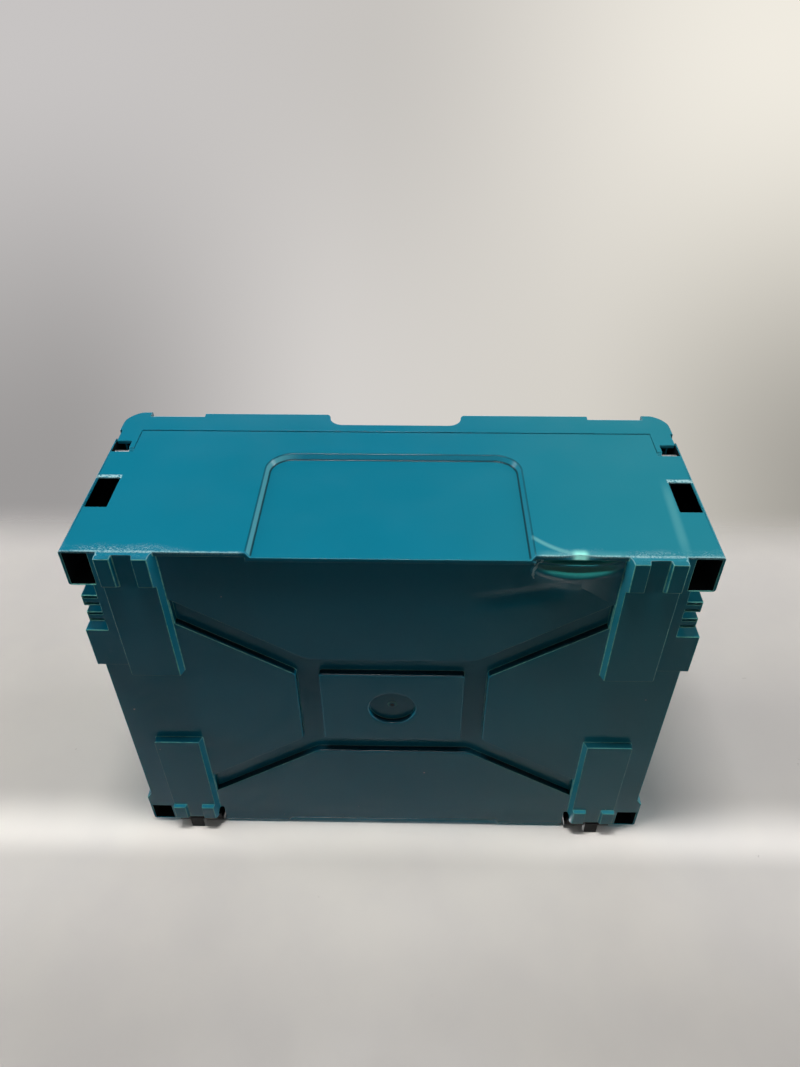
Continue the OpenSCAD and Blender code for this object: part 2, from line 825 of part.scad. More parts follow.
module latch_pin() {
    rod(recess_in - wall_t, recess_out + 2 * wall_t - pin_short, latch_pin_s, latch_pin_z,
        latch_pin_d / 2);
}

module latch_pin_left() {
    color(STEEL) case_frame() mirror([1, 0, 0]) latch_pin();
}

module latch_pin_right() {
    color(STEEL) case_frame() latch_pin();
}

base_shell();
lid_shell();
hinge_pin_left();
hinge_pin_right();
carry_handle();
handle_grip();
handle_pin_left();
handle_pin_right();
latch_left();
latch_right();
latch_pin_left();
latch_pin_right();
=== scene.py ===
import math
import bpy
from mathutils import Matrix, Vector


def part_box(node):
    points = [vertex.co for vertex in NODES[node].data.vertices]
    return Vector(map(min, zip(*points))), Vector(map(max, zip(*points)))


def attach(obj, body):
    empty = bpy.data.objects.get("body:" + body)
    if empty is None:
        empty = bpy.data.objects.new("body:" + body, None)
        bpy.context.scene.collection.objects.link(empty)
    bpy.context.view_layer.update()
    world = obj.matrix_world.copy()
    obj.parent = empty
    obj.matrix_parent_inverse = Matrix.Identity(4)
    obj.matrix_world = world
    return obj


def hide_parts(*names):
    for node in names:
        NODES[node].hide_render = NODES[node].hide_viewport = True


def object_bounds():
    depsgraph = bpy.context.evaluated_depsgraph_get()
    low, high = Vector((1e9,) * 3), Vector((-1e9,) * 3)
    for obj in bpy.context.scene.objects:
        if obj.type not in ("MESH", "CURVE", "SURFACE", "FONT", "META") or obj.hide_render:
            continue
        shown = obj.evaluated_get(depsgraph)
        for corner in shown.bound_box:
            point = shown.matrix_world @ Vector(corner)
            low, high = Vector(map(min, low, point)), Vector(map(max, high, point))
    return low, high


bl_info = {
    "name": "Stackable tool case",
    "version": (1, 0, 0),
    "blender": (4, 5, 0),
    "location": "View3D > Sidebar > Tool Case",
    "description": "Dresses a moulded tool case: shells, latches, handle, pins and a plain studio",
    "category": "Object",
}

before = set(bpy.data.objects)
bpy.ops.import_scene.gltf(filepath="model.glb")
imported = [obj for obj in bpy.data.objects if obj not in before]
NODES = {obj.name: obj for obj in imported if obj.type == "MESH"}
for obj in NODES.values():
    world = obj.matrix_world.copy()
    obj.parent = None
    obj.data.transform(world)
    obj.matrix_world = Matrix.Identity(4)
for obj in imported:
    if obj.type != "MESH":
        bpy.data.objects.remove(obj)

import bmesh
import bpy
from bpy.props import FloatProperty, FloatVectorProperty, IntProperty, PointerProperty
from mathutils import Matrix, Vector
from mathutils.bvhtree import BVHTree

START_BOX = [list(map(float, corner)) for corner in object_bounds()]
BASE_LO, BASE_HI = (Vector(c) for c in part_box("base_shell"))
REAR_Y = BASE_HI.y
FLOOR_Y = START_BOX[0][1] - 0.0004
MM = 0.001
# middle of the body's depth, level of its underside panels and reach of the channel's arms
MIDDLE_Y = (BASE_LO.y + BASE_HI.y) / 2
PANEL_Z = 0.0078
ARM_X = 0.1385
# the arched recesses of the rear and front walls: half width, top and corner radius
ARCH_HALF, ARCH_TOP, ARCH_R = 0.0835, 0.1070, 0.0150
# the hollow of a rear post and the pocket of a front post: across, in from the nearer wall, and up
POST_HOLLOW = ((0.1806, 0.1968), (0.0012, 0.0272), (0.0062, 0.1370))
FRONT_POCKET = ((0.1795, 0.1965), (0.0005, 0.0188), (0.0085, 0.0670))
# levels between which the marks of the underside fade out
UNDERSIDE = (0.0096, 0.0102)
# how far a latch's nose stands out in front of its plate, and its finger ridges:
# first one's height over the latch's end, pitch, margin at both sides, width and rise
NOSE_REACH = 0.0040
RIDGE_FIRST, RIDGE_PITCH, RIDGE_MARGIN, RIDGE_W, RIDGE_H = 0.0140, 0.0042, 0.0050, 0.0022, 0.0008
# how deep a repeated bar is sunk into the face it stands on
SUNK = 0.0001
# the bands round the grip: margin at both ends, rise and width
BAND_MARGIN, BAND_RISE, BAND_W = 0.004, 0.0005, 0.003


# ---------------------------------------------------------------- settings

class CaseSizes(bpy.types.PropertyGroup):
    edge_round: FloatProperty(
        name="Edge rounding", description="Radius worn onto the mouldings' edges",
        default=0.00045, min=0.0001, max=0.0005, unit="LENGTH")
    edge_angle: FloatProperty(
        name="Edge angle", description="Edges sharper than this are rounded",
        default=math.radians(38), subtype="ANGLE")
    dent_x: FloatProperty(
        name="Dent centre", description="Where the dent sits along the rear lower edge",
        default=-0.1130, unit="LENGTH")
    dent_half: FloatProperty(
        name="Dent half length", description="Half the length of the dent",
        default=0.0290, unit="LENGTH")
    dent_depth: FloatProperty(
        name="Dent depth", description="Share of the full depth to which the underside is pushed in",
        default=1.0, min=0.0, max=1.3)
    grip_ribs: IntProperty(
        name="Grip ribs", description="Number of bands moulded round the soft grip",
        default=15, min=3, max=30)
    latch_ridges: IntProperty(
        name="Latch ridges", description="Number of finger ridges on each latch",
        default=5, min=2, max=9)


class CaseColours(bpy.types.PropertyGroup):
    case: FloatVectorProperty(
        name="Case", description="Colour of the moulded shells",
        default=(0.003, 0.178, 0.275), subtype="COLOR", size=3, min=0, max=1)
    black: FloatVectorProperty(
        name="Black parts", description="Colour of the latches and the handle",
        default=(0.006, 0.0065, 0.0075), subtype="COLOR", size=3, min=0, max=1)
    floor: FloatVectorProperty(
        name="Floor", description="Colour of the stone floor",
        default=(0.52, 0.498, 0.485), subtype="COLOR", size=3, min=0, max=1)


def sizes():
    return bpy.context.scene.case_sizes


def colours():
    return bpy.context.scene.case_colours


# ---------------------------------------------------------------- material tools

def srgb(code):
    """A #rrggbb colour as linear RGBA."""
    parts = [int(code[i:i + 2], 16) / 255 for i in (1, 3, 5)]
    return tuple(c / 12.92 if c <= 0.04045 else ((c + 0.055) / 1.055) ** 2.4 for c in parts) + (1.0,)


def add(tree, kind, at=(0, 0), **inputs):
    """Adds a node; inputs are set by socket name, and a socket given as a value is linked."""
    node = tree.nodes.new(kind)
    node.location = at
    for key, value in inputs.items():
        if hasattr(node, key) and key not in node.inputs:
            setattr(node, key, value)
            continue
        socket = node.inputs[int(key[1:])] if key[0] == "i" and key[1:].isdigit() else node.inputs[key]
        if isinstance(value, bpy.types.NodeSocket):
            tree.links.new(value, socket)
        else:
            socket.default_value = value
    return node


def slide(tree, value, low, high, to_low=0.0, to_high=1.0, kind="SMOOTHSTEP"):
    """Maps a value from low..high to to_low..to_high, held at both ends."""
    node = add(tree, "ShaderNodeMapRange", interpolation_type=kind, Value=value)
    for key, v in (("From Min", low), ("From Max", high), ("To Min", to_low), ("To Max", to_high)):
        node.inputs[key].default_value = v
    return node.outputs["Result"]


def blend(tree, factor, a, b):
    """Mixes two colours."""
    node = add(tree, "ShaderNodeMix", data_type="RGBA")
    for key, v in (("Factor", factor), ("A", a), ("B", b)):
        socket = next(s for s in node.inputs if s.name == key and s.enabled)
        if isinstance(v, bpy.types.NodeSocket):
            tree.links.new(v, socket)
        else:
            socket.default_value = v
    return next(s for s in node.outputs if s.enabled)


class Nodes:
    """Short calls for the maths inside one material."""

    def __init__(self, tree):
        self.tree = tree
        coords = add(tree, "ShaderNodeTexCoord", (-1800, 0))
        self.place = coords.outputs["Object"]
        turned = add(tree, "ShaderNodeSeparateXYZ", (-1600, -200), Vector=coords.outputs["Normal"])
        self.facing_y = turned.outputs[1]
        split = add(tree, "ShaderNodeSeparateXYZ", (-1600, 0), Vector=self.place)
        self.x, self.y, self.z = split.outputs

    def op(self, kind, a, b=0.0, c=0.0):
        return add(self.tree, "ShaderNodeMath", operation=kind, i0=a, i1=b, i2=c).outputs[0]

    def noise(self, scale, detail=3.0, rough=0.55, stretch=None):
        where = self.place
        if stretch:
            where = add(self.tree, "ShaderNodeVectorMath", operation="MULTIPLY",
                        i0=self.place, i1=stretch).outputs[0]
        return add(self.tree, "ShaderNodeTexNoise", Vector=where, Scale=scale,
                   Detail=detail, Roughness=rough).outputs["Fac"]

    def ramp(self, value, low, high, to_low=0.0, to_high=1.0):
        return slide(self.tree, value, low, high, to_low, to_high)

    def band(self, value, low, high, soft):
        """1 between low and high, falling to 0 over soft on each side."""
        rise = self.ramp(value, low - soft, low)
        fall = self.ramp(value, high, high + soft, 1.0, 0.0)
        return self.op("MULTIPLY", rise, fall)

    def both(self, *values):
        out = values[0]
        for v in values[1:]:
            out = self.op("MULTIPLY", out, v)
        return out

    def most(self, *values):
        out = values[0]
        for v in values[1:]:
            out = self.op("MAXIMUM", out, v)
        return out

    def mix(self, factor, a, b):
        return blend(self.tree, factor, a, b)

    def bump(self, height, distance, strength=1.0, normal=None):
        node = add(self.tree, "ShaderNodeBump", Strength=strength, Distance=distance, Height=height)
        if normal is not None:
            self.tree.links.new(normal, node.inputs["Normal"])
        return node.outputs["Normal"]


def new_material(name):
    mat = bpy.data.materials.new(name)
    mat.use_nodes = True
    mat.node_tree.nodes.clear()
    return mat, mat.node_tree


def finish_material(tree, shader):
    add(tree, "ShaderNodeOutputMaterial", (900, 0), Surface=shader)


def plain_shader(tree, colour, **inputs):
    """A Principled shader of that colour as the whole material."""
    shader = add(tree, "ShaderNodeBsdfPrincipled", (600, 0), **inputs)
    tree.links.new(colour, shader.inputs["Base Color"])
    finish_material(tree, shader.outputs[0])


# moulded polypropylene, glossy, with scuffs along the rear lower edge and round the slots, and with painted
# shade, highlights and reflections in its colour
def case_plastic(name="case_polypropylene", worn_and_highlit=False):
    mat, tree = new_material(name)
    n = Nodes(tree)
    base = tuple(colours().case) + (1.0,)
    deep = tuple(c * k for c, k in zip(colours().case, (1.0, 0.95, 0.94))) + (1.0,)
    pale = srgb("#aad3d6")
    size = sizes()
    wide = n.op("ABSOLUTE", n.x)
    colour = n.mix(n.ramp(n.noise(9.0, 4.0), 0.35, 0.7), base, deep)
    # the far side is painted a little greener, a painted tint of the greenish light falling from that side
    colour = n.mix(n.ramp(n.x, -0.19, 0.02, 0.55, 0.0), colour, srgb("#2b8590"))
    rear = n.ramp(n.y, REAR_Y - 0.0022, REAR_Y - 0.0002)
    # scuffs: fine broken flecks that thin out upwards from the rear lower edge
    fleck = n.ramp(n.noise(2100.0, 4.0, 0.8, (0.35, 1.0, 1.0)), 0.52, 0.60)
    cross = n.ramp(n.noise(1600.0, 3.0, 0.75, (1.0, 1.0, 0.35)), 0.58, 0.66)
    patch = n.ramp(n.noise(70.0, 3.0, 0.6, (0.5, 1.0, 1.2)), 0.38, 0.62)
    height = n.op("ADD", n.z, n.op("MULTIPLY", n.op("SUBTRACT", n.noise(60.0, 2.0), 0.5), 0.010))
    height = n.op("ADD", height, n.ramp(n.x, 0.105, 0.155, 0.0065, -0.0005))
    height = n.op("SUBTRACT", height, n.ramp(n.x, -0.100, -0.060, 0.0065, 0.0))
    low = n.both(n.ramp(height, 0.0060, 0.0150, 1.0, 0.0), n.ramp(n.z, 0.0046, 0.0060, 0.15, 1.0))
    ends = n.most(n.ramp(n.x, 0.100, 0.140), n.ramp(n.x, -0.110, -0.085, 0.8, 0.0))
    scuff = n.both(rear, n.most(fleck, n.op("MULTIPLY", cross, 0.8)), patch, low, ends)
    # the edge itself is rubbed pale; over the dent are a pale painted reflection of the bent face, a painted
    # glint where the lip was hit and a painted streak of light curving up
    rim = n.both(rear, n.band(n.z, 0.0050, 0.0064, 0.0006), n.ramp(wide, 0.086, 0.092),
                 n.ramp(n.noise(900.0, 4.0, 0.7), 0.36, 0.60))
    bent_face_reflection = n.both(rear, n.band(n.x, -0.134, -0.094, 0.010), n.ramp(n.z, 0.0060, 0.0120, 0.40, 0.0))
    # a painted glint on the lip where it was hit
    knock_glint = n.both(n.ramp(n.y, REAR_Y - 0.0035, REAR_Y - 0.0025), n.band(n.x, -0.1145, -0.1110, 0.0045),
                   n.ramp(n.z, 0.0065, 0.0130, 0.95, 0.0))
    # a painted streak of light curving up over the dent
    curve = n.op("ADD", n.op("MULTIPLY", n.op("POWER", n.op("ADD", n.x, 0.118), 2.0), 15.8), 0.0065)
    swoop_highlight = n.both(rear, n.ramp(n.op("ABSOLUTE", n.op("SUBTRACT", n.z, curve)), 0.0003, 0.0032, 1.0, 0.0),
                   n.band(n.x, -0.112, -0.089, 0.006))
    # two pale arcs painted on the buckled plastic under the knock, painted highlights where its slopes catch
    # the light
    along = n.op("MULTIPLY", n.op("SUBTRACT", n.x, size.dent_x), 0.5 * math.pi / size.dent_half)
    bend = n.op("MULTIPLY_ADD", n.op("COSINE", along), 0.34, 0.66)
    arc = n.op("DIVIDE", n.op("SUBTRACT", REAR_Y, n.y), bend)
    low_face = n.ramp(n.z, *UNDERSIDE, 1.0, 0.0)
    bowed_arc_highlights = n.both(n.ramp(n.op("ABSOLUTE", along), 1.0, 1.5, 1.0, 0.0), low_face,
                   n.most(n.op("MULTIPLY", n.band(arc, 0.0118, 0.0150, 0.0030), 0.55),
                          n.op("MULTIPLY", n.band(arc, 0.0058, 0.0068, 0.0009), 0.70)))
    # worn lips over the large slots of the rear posts
    lip = n.both(rear, n.band(wide, 0.1805, 0.1965, 0.0006),
                 n.band(n.z, 0.0796, 0.0826, 0.0006), n.ramp(n.noise(900.0, 3.0), 0.36, 0.55))
    # dull rubbed patches on the rear face, and a soft gleam painted down beside its far post, a painted
    # highlight
    rub = n.both(rear, n.band(n.x, 0.063, 0.071, 0.006), n.band(n.z, 0.014, 0.037, 0.006))
    lean = n.op("ADD", n.x, n.op("MULTIPLY", n.z, 0.037))
    gleam = n.both(rear, n.ramp(n.op("ABSOLUTE", n.op("ADD", lean, 0.1752)), 0.0005, 0.0045, 1.0, 0.0),
                   n.band(n.z, 0.025, 0.060, 0.028))
    # dark lines painted along both edges of the arched recesses' flares, a painted dark reflection in their
    # rounded edges, and the flare on the +x side painted paler as painted light
    across = n.op("MAXIMUM", n.op("SUBTRACT", wide, ARCH_HALF - ARCH_R), 0.0)
    above = n.op("MAXIMUM", n.op("SUBTRACT", n.z, ARCH_TOP - ARCH_R), 0.0)
    reach = n.op("SQRT", n.op("ADD", n.op("MULTIPLY", across, across), n.op("MULTIPLY", above, above)))
    edge = n.op("SUBTRACT", reach, ARCH_R)
    walls = n.both(n.ramp(n.op("ABSOLUTE", n.y), REAR_Y - 0.0055, REAR_Y - 0.0050), n.ramp(n.z, 0.006, 0.008))
    painted_arch_lines = n.both(walls, n.most(n.band(edge, -0.0004, 0.0002, 0.0005),
                                n.op("MULTIPLY", n.band(edge, 0.0024, 0.0030, 0.0004), 0.6)))
    # painted light on the flare of the +x side
    flare_painted_light = n.both(walls, n.band(edge, 0.0006, 0.0020, 0.0004), n.ramp(n.x, 0.060, 0.080))
    # painted shade on the walls of the channels and of the front feet that face +y, darkening them as if
    # shadowed
    painted_wall_shade = n.both(n.ramp(n.facing_y, 0.35, 0.70), n.ramp(n.y, REAR_Y - 0.012, REAR_Y - 0.009, 1.0, 0.0),
                    n.ramp(n.z, 0.0126, 0.0130, 1.0, 0.0), n.ramp(n.z, 0.0026, 0.0032),
                    n.ramp(n.z, 0.0074, 0.0078, 0.85, 1.0), n.ramp(wide, 0.1765, 0.1775, 1.0, 0.0))
    # a curved white scratch under the case and a few small nicks
    bow = n.op("MULTIPLY", n.op("POWER", n.op("SUBTRACT", n.y, 0.1340), 2.0), 42.0)
    line = n.op("ABSOLUTE", n.op("ADD", n.op("ADD", n.x, 0.0862), bow))
    thick = n.ramp(n.noise(300.0, 2.0), 0.3, 0.7, 0.0003, 0.0010)
    gouge = n.both(n.op("LESS_THAN", line, thick), n.band(n.y, 0.1295, 0.1450, 0.0006), low_face)
    nick = n.both(n.ramp(n.noise(230.0, 1.0, 0.5), 0.82, 0.835, 0.0, 0.6), low_face)
    # a pale ring painted round the point of the gate, a painted highlight of its moulded ring, and the
    # point's pit painted dark as painted shade
    spot = n.op("SQRT", n.op("ADD", n.op("MULTIPLY", n.x, n.x),
                             n.op("POWER", n.op("SUBTRACT", n.y, MIDDLE_Y), 2.0)))
    under = n.ramp(n.z, 0.013, 0.014, 1.0, 0.0)
    ring = n.both(under, n.band(spot, 0.0026, 0.0032, 0.0005))
    pit = n.both(under, n.ramp(spot, 0.0012, 0.0018, 1.0, 0.0))
    marks = n.most(scuff, n.op("MULTIPLY", rim, 0.75), lip, gouge, nick)
    # pale rubs together with the painted highlights and reflections
    rubs_and_painted_sheen = n.most(n.op("MULTIPLY", rub, 0.16), n.op("MULTIPLY", bent_face_reflection, 0.5),
                  n.op("MULTIPLY", swoop_highlight, 0.36), n.op("MULTIPLY", gleam, 0.16),
                  n.op("MULTIPLY", ring, 0.22), n.op("MULTIPLY", flare_painted_light, 0.22))
    if worn_and_highlit:
        # pale lines along the rounded edges: partly rubbed wear, partly painted edge highlight, strongest low
        # on the underside and towards the rear
        rubbed = n.ramp(n.noise(150.0, 4.0, 0.7), 0.34, 0.60, 0.4, 1.0)
        near = n.both(n.ramp(n.z, 0.009, 0.018, 0.9, 0.08), n.ramp(n.y, -0.03, 0.03, 0.6, 1.0))
        line = n.op("MULTIPLY", n.op("MULTIPLY", rubbed, near), n.op("SUBTRACT", 1.0, rear))
        arch_foot = n.op("MULTIPLY", n.ramp(wide, 0.086, 0.088, 1.0, 0.0),
                         n.ramp(n.y, REAR_Y - 0.0075, REAR_Y - 0.0065, 0.0, 0.9))
        line = n.both(line, n.ramp(n.y, -0.1400, -0.1330), n.op("SUBTRACT", 1.0, arch_foot))
        colour = n.mix(line, colour, srgb("#6fc4b4"))
        marks = n.most(marks, n.both(rubbed, rear, n.ramp(n.z, 0.007, 0.010, 0.6, 0.0),
                                     n.ramp(wide, 0.086, 0.092, 0.1, 1.0)))
    # painted dark: reflection lines along the arch's edges and shade in the gate's pit
    colour = n.mix(n.op("MULTIPLY", n.most(painted_arch_lines, pit), 0.8), colour, srgb("#03161c"))
    # the painted shade on the channel walls
    colour = n.mix(n.op("MULTIPLY", painted_wall_shade, 0.85), colour, srgb("#010b14"))
    # pale rubs and the painted highlights and reflections
    colour = n.mix(rubs_and_painted_sheen, colour, srgb("#8fd6d2"))
    # the painted highlight arcs over the dent
    colour = n.mix(bowed_arc_highlights, colour, srgb("#2ca79b"))
    # the painted glint where the lip was hit
    colour = n.mix(knock_glint, colour, srgb("#a4fff2"))
    colour = n.mix(n.op("MULTIPLY", marks, 0.80), colour, pale)
    rough = n.ramp(n.noise(26.0, 4.0), 0.3, 0.75, 0.17, 0.26)
    rough = n.most(rough, n.op("MULTIPLY", marks, 0.6))
    normal = n.bump(n.noise(1500.0, 2.0), 0.00004, 0.3)
    normal = n.bump(n.noise(14.0, 1.0), 0.0012, 0.14, normal)
    normal = n.bump(marks, 0.0001, 0.5, normal)
    plain_shader(tree, colour, Roughness=rough, Normal=normal, IOR=1.29)
    return mat


# the same plastic inside the hollow posts, painted near-black as painted shade, the darkness that fills the
# hollows
def hollow_painted_shade():
    mat, tree = new_material("case_hollow_grime")
    n = Nodes(tree)
    colour = n.mix(n.ramp(n.noise(70.0, 4.0), 0.45, 0.75), srgb("#04090c"), srgb("#0a1a20"))
    normal = n.bump(n.noise(900.0, 3.0), 0.0001, 0.4)
    plain_shader(tree, colour, Roughness=0.8, Normal=normal, IOR=1.2)
    return mat


# glass-filled nylon, satin black with a fine moulded grain
def black_nylon():
    mat, tree = new_material("black_nylon")
    n = Nodes(tree)
    base = tuple(colours().black) + (1.0,)
    grey = srgb("#1b1e20")
    colour = n.mix(n.ramp(n.noise(60.0, 4.0), 0.45, 0.8), base, grey)
    rough = n.ramp(n.noise(45.0, 3.0), 0.3, 0.7, 0.42, 0.54)
    normal = n.bump(n.noise(2600.0, 2.0), 0.00008, 0.5)
    plain_shader(tree, colour, Roughness=rough, Normal=normal, IOR=1.2)
    return mat


# thermoplastic elastomer, matt and faintly dusty
def soft_rubber():
    mat, tree = new_material("grip_elastomer")
    n = Nodes(tree)
    dust = n.ramp(n.noise(90.0, 5.0, 0.65), 0.5, 0.8)
    colour = n.mix(n.op("MULTIPLY", dust, 0.5), srgb("#26282a"), srgb("#3c3f41"))
    normal = n.bump(n.noise(1900.0, 2.0), 0.0001, 0.6)
    plain_shader(tree, colour, Roughness=0.72, Normal=normal, IOR=1.45)
    return mat


# drawn steel rod with fine marks round it
def pin_steel():
    mat, tree = new_material("pin_steel")
    n = Nodes(tree)
    streak = n.noise(500.0, 3.0, 0.6, (6.0, 0.4, 0.4))
    colour = n.mix(n.ramp(streak, 0.3, 0.7), srgb("#8d9296"), srgb("#b1b5b8"))
    rough = n.ramp(streak, 0.3, 0.7, 0.26, 0.42)
    normal = n.bump(streak, 0.00005, 0.4)
    plain_shader(tree, colour, Metallic=1.0, Roughness=rough, Normal=normal)
    return mat


def material(name, make):
    """One material of that name, made once."""
    return bpy.data.materials.get(name) or make()


def paint(obj, *mats):
    """Fills the object's material slots; the slot that each face uses stays as it is."""
    slots = obj.data.materials
    while len(slots) < len(mats):
        slots.append(None)
    for k, mat in enumerate(mats):
        slots[k] = mat


# ---------------------------------------------------------------- mesh tools

def flat_edges(bm):
    return [e for e in bm.edges if len(e.link_faces) == 2 and e.calc_face_angle(1) < math.radians(0.4)]


def openness(edge, kept):
    """The smallest angle between a flat edge and the real edges at its ends."""
    least = math.pi
    for v in edge.verts:
        along = edge.other_vert(v).co - v.co
        for other in v.link_edges:
            if other in kept:
                least = min(least, along.angle(other.other_vert(v).co - v.co, 0.0))
    return least


def merged(node):
    """The node's mesh with its loose triangles joined and its flat faces made whole."""
    bm = bmesh.new()
    bm.from_mesh(NODES[node].data)
    bmesh.ops.remove_doubles(bm, verts=bm.verts, dist=1e-6)
    bmesh.ops.beautify_fill(bm, faces=bm.faces, edges=flat_edges(bm), method="ANGLE")
    flat = flat_edges(bm)
    kept = set(bm.edges) - set(flat)
    # a flat edge that lies close along a real one goes first, since rounding would stretch it
    for edge in sorted(flat, key=lambda e: openness(e, kept)):
        if edge.is_valid and len(edge.link_faces) == 2:
            try:
                bmesh.utils.face_join(tuple(edge.link_faces), True)
            except (RuntimeError, ValueError):
                pass
    straight = [v for v in bm.verts if len(v.link_edges) == 2 and
                (v.link_edges[0].other_vert(v).co - v.co).angle(
                    v.co - v.link_edges[1].other_vert(v).co, 0.0) < math.radians(0.4)]
    bmesh.ops.dissolve_verts(bm, verts=straight)
    return bm


def link(name, bm):
    mesh = bpy.data.meshes.new(name)
    bm.to_mesh(mesh)
    bm.free()
    obj = bpy.data.objects.new(name, mesh)
    bpy.context.scene.collection.objects.link(obj)
    return obj


def settle(obj):
    """Turns the object's modifiers into its own plain mesh."""
    bpy.context.view_layer.update()
    graph = bpy.context.evaluated_depsgraph_get()
    mesh = bpy.data.meshes.new_from_object(obj.evaluated_get(graph))
    mesh.name = obj.name
    old = obj.data
    obj.modifiers.clear()
    obj.data = mesh
    bpy.data.meshes.remove(old)


def smooth(obj, degrees=50):
    """Smooth shading in which the large faces stay flat and only the rounded edges turn."""
    for poly in obj.data.polygons:
        poly.use_smooth = True
    obj.data.set_sharp_from_angle(angle=math.radians(degrees))
    mod = obj.modifiers.new("flat_faces", "WEIGHTED_NORMAL")
    mod.mode = "FACE_AREA"
    mod.weight = 100
    mod.keep_sharp = True
    settle(obj)


def bore_edge(edge):
    """Whether an edge is one short side of a bore's round mouth."""
    a, b = (v.co for v in edge.verts)
    return edge.calc_length() < 0.00045 and abs(a.x - b.x) < 1e-6


def rounded(node, name, width, segments=2, edge_slot=0, first=(), reshape=None):
    """A merged copy of a node with its sharp edges rounded; first holds the larger roundings."""
    bm = merged(node)
    if reshape:
        reshape(bm)
    for near, large in first:
        soften(bm, near, large)
    edges = [e for e in bm.edges if len(e.link_faces) == 2 and not bore_edge(e)
             and e.calc_face_angle(0) > sizes().edge_angle]
    skin = BVHTree.FromBMesh(bm)
    bmesh.ops.bevel(bm, geom=edges, offset=width, offset_type="OFFSET", segments=segments,
                    profile=0.5, affect="EDGES", clamp_overlap=False, miter_outer="ARC",
                    material=edge_slot or -1)
    for v in bm.verts:
        place, _, _, away = skin.find_nearest(v.co)
        if away > width:
            v.co = place
    obj = link(name, bm)
    for _ in range(edge_slot + 1):
        obj.data.materials.append(None)
    return obj


def reaches(face, low, high):
    """Whether a face's own box meets the box from low to high."""
    return all(min(v.co[k] for v in face.verts) < high[k] and max(v.co[k] for v in face.verts) > low[k]
               for k in range(3))


def cut_grid(obj, low, high, step):
    """Cuts the faces inside a box along a grid, so that they can bend."""
    bm = bmesh.new()
    bm.from_mesh(obj.data)
    bmesh.ops.triangulate(bm, faces=[f for f in bm.faces if reaches(f, low, high)])
    for axis in range(3):
        count = max(1, round((high[axis] - low[axis]) / step[axis]))
        for i in range(count + 1):
            at = Vector(low)
            at[axis] = low[axis] + (high[axis] - low[axis]) * i / count
            normal = Vector((0, 0, 0))
            normal[axis] = 1
            faces = [f for f in bm.faces if reaches(f, low, high)]
            edges = {e for f in faces for e in f.edges}
            verts = {v for f in faces for v in f.verts}
            bmesh.ops.bisect_plane(bm, geom=[*verts, *edges, *faces], dist=1e-7,
                                   plane_co=at, plane_no=normal)
    bm.to_mesh(obj.data)
    bm.free()


def ease(t):
    t = min(1.0, max(0.0, t))
    return t * t * (3 - 2 * t)


# how far the buckled panel stands out at each distance from the rear face, both in millimetres
DENT_PROFILE = ((0.0, 0.0), (3.6, 0.0), (5.4, -1.0), (7.5, 2.5), (8.4, 2.4), (9.6, -0.3), (10.4, -0.5),
                (15.2, 3.5), (17.0, 3.8), (24.0, 1.2), (31.0, 0.0))
# the levels between which the dent moves the plastic, and where its lip was hit
DENT_LOW, DENT_HIGH, KNOCK_X = 0.0050, 0.0130, -0.1125
# the long crease beside it: two ends as X and distance from the rear face
CREASE = (Vector((-0.046, 0.0385)), Vector((-0.110, 0.0250)))


def dent_depth(s):
    """How far the dent's profile stands out at a distance from the rear face, in metres."""
    s /= MM
    for (s0, d0), (s1, d1) in zip(DENT_PROFILE, DENT_PROFILE[1:]):
        if s <= s1:
            return (d0 + (d1 - d0) * ease((s - s0) / (s1 - s0))) * MM
    return 0.0


def dent(obj):
    """Buckles the underside behind the rear lower edge, as a knock does."""
    size = sizes()
    low_x, high_x = size.dent_x - size.dent_half, size.dent_x + size.dent_half
    cut_grid(obj, (low_x, REAR_Y - 0.018, DENT_LOW), (high_x, REAR_Y + 0.001, DENT_HIGH),
             (0.002, 0.0009, 0.003))
    cut_grid(obj, (-0.116, REAR_Y - 0.050, 0.0070), (-0.042, REAR_Y - 0.014, 0.0090),
             (0.004, 0.0022, 0.002))
    first, last = CREASE
    run = last - first
    for v in obj.data.vertices:
        p = v.co
        s = REAR_Y - p.y
        if not DENT_LOW < p.z < DENT_HIGH or s > 0.052 or not -0.150 < p.x < -0.040:
            continue
        lift = 0.0
        along = (p.x - size.dent_x) / size.dent_half
        if abs(along) < 1:
            bump = math.cos(along * math.pi / 2) ** 0.75
            bend = 0.66 + 0.34 * math.cos(along * math.pi / 2)
            lift = -size.dent_depth * bump * dent_depth(s / bend)
            # the lip itself is turned up where it was hit
            hit = math.exp(-((p.x - KNOCK_X) / 0.0075) ** 2)
            lift += 0.0015 * hit * (1 - ease(s / 0.0034))
        if p.z > 0.0070:
            from_first = Vector((p.x, s)) - first
            t = from_first.dot(run) / run.length_squared
            off = (run.x * from_first.y - run.y * from_first.x) / run.length
            fade = ease(t / 0.35) * (1 - ease((t - 0.80) / 0.25))
            lift += 0.0009 * fade * (1 - ease((off + 0.0015) / 0.005) if off > -0.0015
                                     else 1 - ease((-0.0015 - off) / 0.013))
        p.z += lift


def soften(bm, near, width, segments=4):
    """Rounds the sharp edges that near picks out, ahead of the general rounding."""
    edges = [e for e in bm.edges if len(e.link_faces) == 2 and e.is_convex
             and e.calc_face_angle(0) > 0.35 and near(*(v.co for v in e.verts))]
    bmesh.ops.bevel(bm, geom=edges, offset=width, offset_type="OFFSET", segments=segments,
                    profile=0.5, affect="EDGES", clamp_overlap=True)


# ---------------------------------------------------------------- repeats

def socket_id(tree, name):
    return next(item.identifier for item in tree.interface.items_tree
                if item.item_type == "SOCKET" and item.in_out == "INPUT" and item.name == name)


